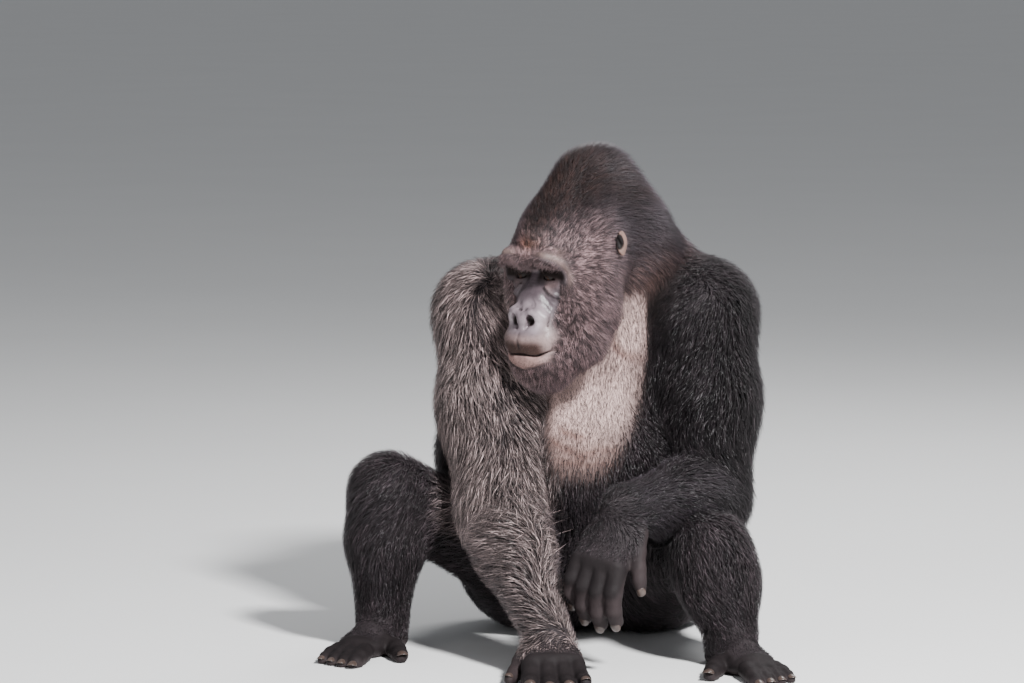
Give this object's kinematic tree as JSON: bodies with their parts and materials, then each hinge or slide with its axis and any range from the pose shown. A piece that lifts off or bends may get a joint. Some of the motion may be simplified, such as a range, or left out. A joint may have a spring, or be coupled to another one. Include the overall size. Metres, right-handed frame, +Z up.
{
  "type": "gorilla museum model",
  "caption": "Life-size still model of a sitting male mountain gorilla with a shaggy dark coat, head turned to one side, one hand on the floor and one forearm laid over a raised knee",
  "frame": {"origin": "on the floor, under the middle of the bounding box", "axes": "+Z up, the chest faces -Y and the animal's own left is +X; the head is turned towards -X"},
  "size_m": [0.8292, 0.8992, 0.9298],
  "materials": {
    "coat": "shaggy black-brown hair with a silver saddle on the back",
    "bare_skin": "bare dark grey skin with a soft sheen",
    "palm_skin": "bare wrinkled black-grey skin of the hands and feet, haired on the back",
    "eye": "wet glossy dark brown"
  },
  "bodies": {
    "root": {"head": "coat", "neck": "coat", "chest": "coat", "belly": "coat", "ear_right": "bare_skin", "ear_left": "bare_skin", "eye_right": "eye", "eye_left": "eye", "upper_arm_right": "coat", "forearm_right": "coat", "hand_right": "palm_skin", "thigh_right": "coat", "lower_leg_right": "coat", "foot_right": "palm_skin", "upper_arm_left": "coat", "forearm_left": "coat", "hand_left": "palm_skin", "thigh_left": "coat", "lower_leg_left": "coat", "foot_left": "palm_skin"}
  },
  "joints": []
}
